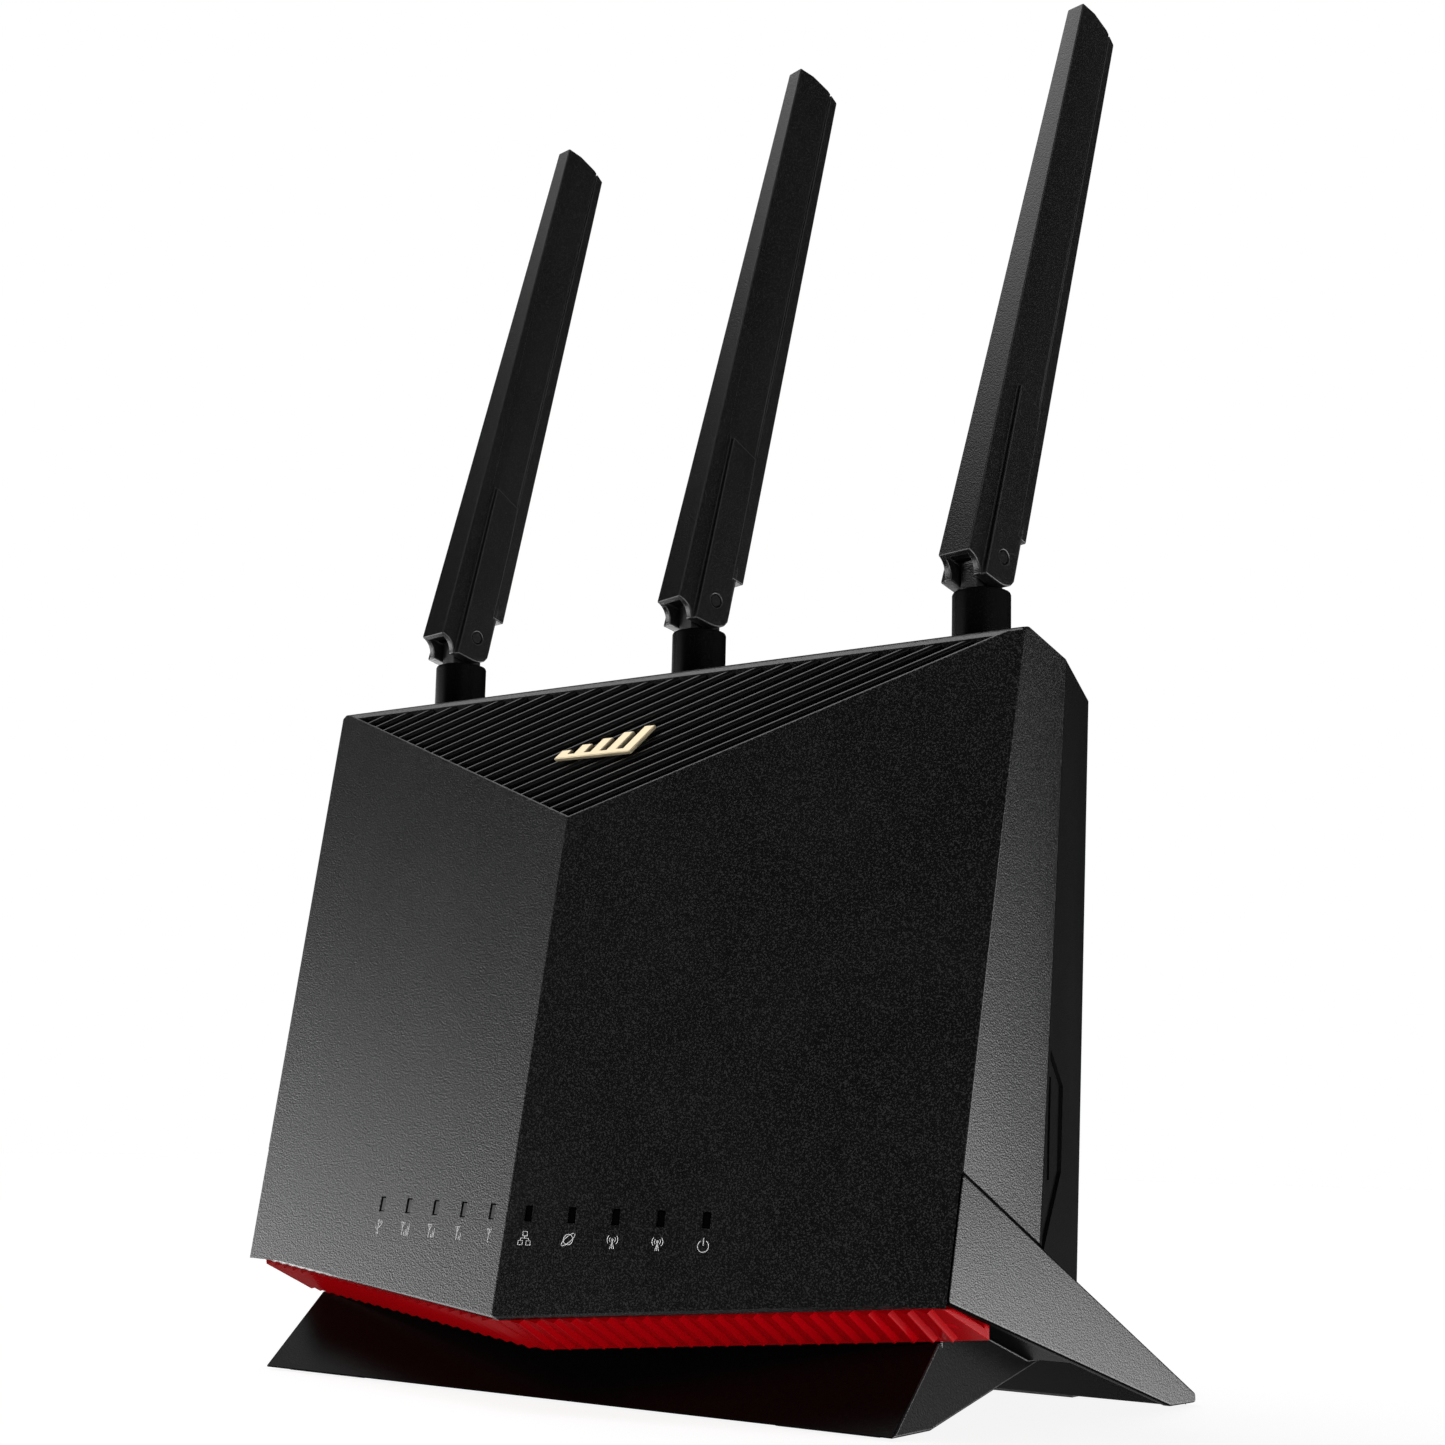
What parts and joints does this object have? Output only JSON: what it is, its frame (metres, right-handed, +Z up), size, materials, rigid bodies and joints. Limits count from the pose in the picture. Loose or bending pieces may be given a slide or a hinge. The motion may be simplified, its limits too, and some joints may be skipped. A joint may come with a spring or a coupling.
{
  "type": "wireless router",
  "caption": "Upright desktop wireless router with a folded front, slatted top vent, red louvred chin, winged stand and tilting antennas.",
  "frame": {"origin": "centre of the bounding box of the whole router at rest, on the surface that it stands on", "axes": "+Z up, the front faces -Y, the rear panel with its sockets faces +Y, +X is to the right as seen from the front"},
  "size_m": [0.2276, 0.1238, 0.3562],
  "materials": {
    "housing": "fine moulded grain, matt",
    "rear_cover": "fine moulded grain, matt",
    "grille": "satin",
    "badge": "satin gold",
    "light_pipe": "clear to milky",
    "red_plastic": "satin red",
    "stand": "fine moulded grain, matt",
    "rubber": "matt",
    "board": "solder mask",
    "tinned_steel": "tinned",
    "aluminium": "satin",
    "screw": "plated",
    "antenna": "satin",
    "brass": "plated",
    "port_body": "satin",
    "button": "satin"
  },
  "bodies": {
    "root": {"front_cover": "housing", "rear_cover": "rear_cover", "top_grille": "grille", "badge": "badge", "light_pipe_left": "light_pipe", "light_pipe_right": "light_pipe", "bottom_grille": "red_plastic", "stand": "stand", "foot_front_left": "rubber", "foot_front_right": "rubber", "foot_rear_left": "rubber", "foot_rear_right": "rubber", "main_board": "board", "cpu_shield": "tinned_steel", "heatsink": "aluminium", "radio_shield": "tinned_steel", "cellular_module": "tinned_steel", "sim_socket": "tinned_steel", "wan_port": "tinned_steel", "lan_port_1": "port_body", "lan_port_2": "port_body", "lan_port_3": "port_body", "lan_port_4": "port_body", "usb_port": "tinned_steel", "dc_jack": "port_body", "cover_screw_1": "screw", "cover_screw_2": "screw", "cover_screw_3": "screw", "cover_screw_4": "screw", "board_screw_1": "screw", "board_screw_2": "screw", "board_screw_3": "screw", "board_screw_4": "screw", "jack_left": "brass", "jack_middle": "brass", "jack_right": "brass"},
    "nut_left": {"nut_left": "antenna"},
    "knuckle_left": {"knuckle_left": "antenna"},
    "blade_left": {"pin_left": "screw", "front_shell_left": "antenna", "back_shell_left": "antenna", "radiator_left": "brass"},
    "nut_middle": {"nut_middle": "antenna"},
    "knuckle_middle": {"knuckle_middle": "antenna"},
    "blade_middle": {"pin_middle": "screw", "front_shell_middle": "antenna", "back_shell_middle": "antenna", "radiator_middle": "brass"},
    "nut_right": {"nut_right": "antenna"},
    "knuckle_right": {"knuckle_right": "antenna"},
    "blade_right": {"pin_right": "screw", "front_shell_right": "antenna", "back_shell_right": "antenna", "radiator_right": "brass"},
    "power_button": {"power_button": "button"},
    "wps_button": {"wps_button": "button"},
    "reset_button": {"reset_button": "button"}
  },
  "joints": [
    {"name": "nut_left_spin", "type": "hinge", "parent": "root", "child": "nut_left", "pos_m": [-0.0822, 0.01095, 0.1748], "axis": [0, 0, 1], "continuous": true},
    {"name": "antenna_left_swivel", "type": "hinge", "parent": "root", "child": "knuckle_left", "pos_m": [-0.0822, 0.01095, 0.19762], "axis": [0, 0, 1], "range_deg": [-169.1, 190.9]},
    {"name": "antenna_left_tilt", "type": "hinge", "parent": "knuckle_left", "child": "blade_left", "pos_m": [-0.0822, 0.01095, 0.19762], "axis": [-0.982, 0.1891, 0], "range_deg": [-13.8, 76.2]},
    {"name": "nut_middle_spin", "type": "hinge", "parent": "root", "child": "nut_middle", "pos_m": [0, 0.01095, 0.1748], "axis": [0, 0, 1], "continuous": true},
    {"name": "antenna_middle_swivel", "type": "hinge", "parent": "root", "child": "knuckle_middle", "pos_m": [0, 0.01095, 0.19762], "axis": [0, 0, 1], "range_deg": [-163.2, 196.8]},
    {"name": "antenna_middle_tilt", "type": "hinge", "parent": "knuckle_middle", "child": "blade_middle", "pos_m": [0, 0.01095, 0.19762], "axis": [-0.9573, 0.289, 0], "range_deg": [-13.1, 76.9]},
    {"name": "nut_right_spin", "type": "hinge", "parent": "root", "child": "nut_right", "pos_m": [0.0822, 0.01095, 0.1748], "axis": [0, 0, 1], "continuous": true},
    {"name": "antenna_right_swivel", "type": "hinge", "parent": "root", "child": "knuckle_right", "pos_m": [0.0822, 0.01095, 0.19762], "axis": [0, 0, 1], "range_deg": [-167.9, 192.1]},
    {"name": "antenna_right_tilt", "type": "hinge", "parent": "knuckle_right", "child": "blade_right", "pos_m": [0.0822, 0.01095, 0.19762], "axis": [-0.9778, 0.2096, 0], "range_deg": [-15.9, 74.1]},
    {"name": "power_button_press", "type": "slide", "parent": "root", "child": "power_button", "axis": [0, -1, 0], "range_m": [0, 0.0016], "stiffness_N_per_m": 450},
    {"name": "wps_button_press", "type": "slide", "parent": "root", "child": "wps_button", "axis": [0, -1, 0], "range_m": [0, 0.0008], "stiffness_N_per_m": 500},
    {"name": "reset_button_press", "type": "slide", "parent": "root", "child": "reset_button", "axis": [0, -1, 0], "range_m": [0, 0.0006], "stiffness_N_per_m": 500}
  ]
}
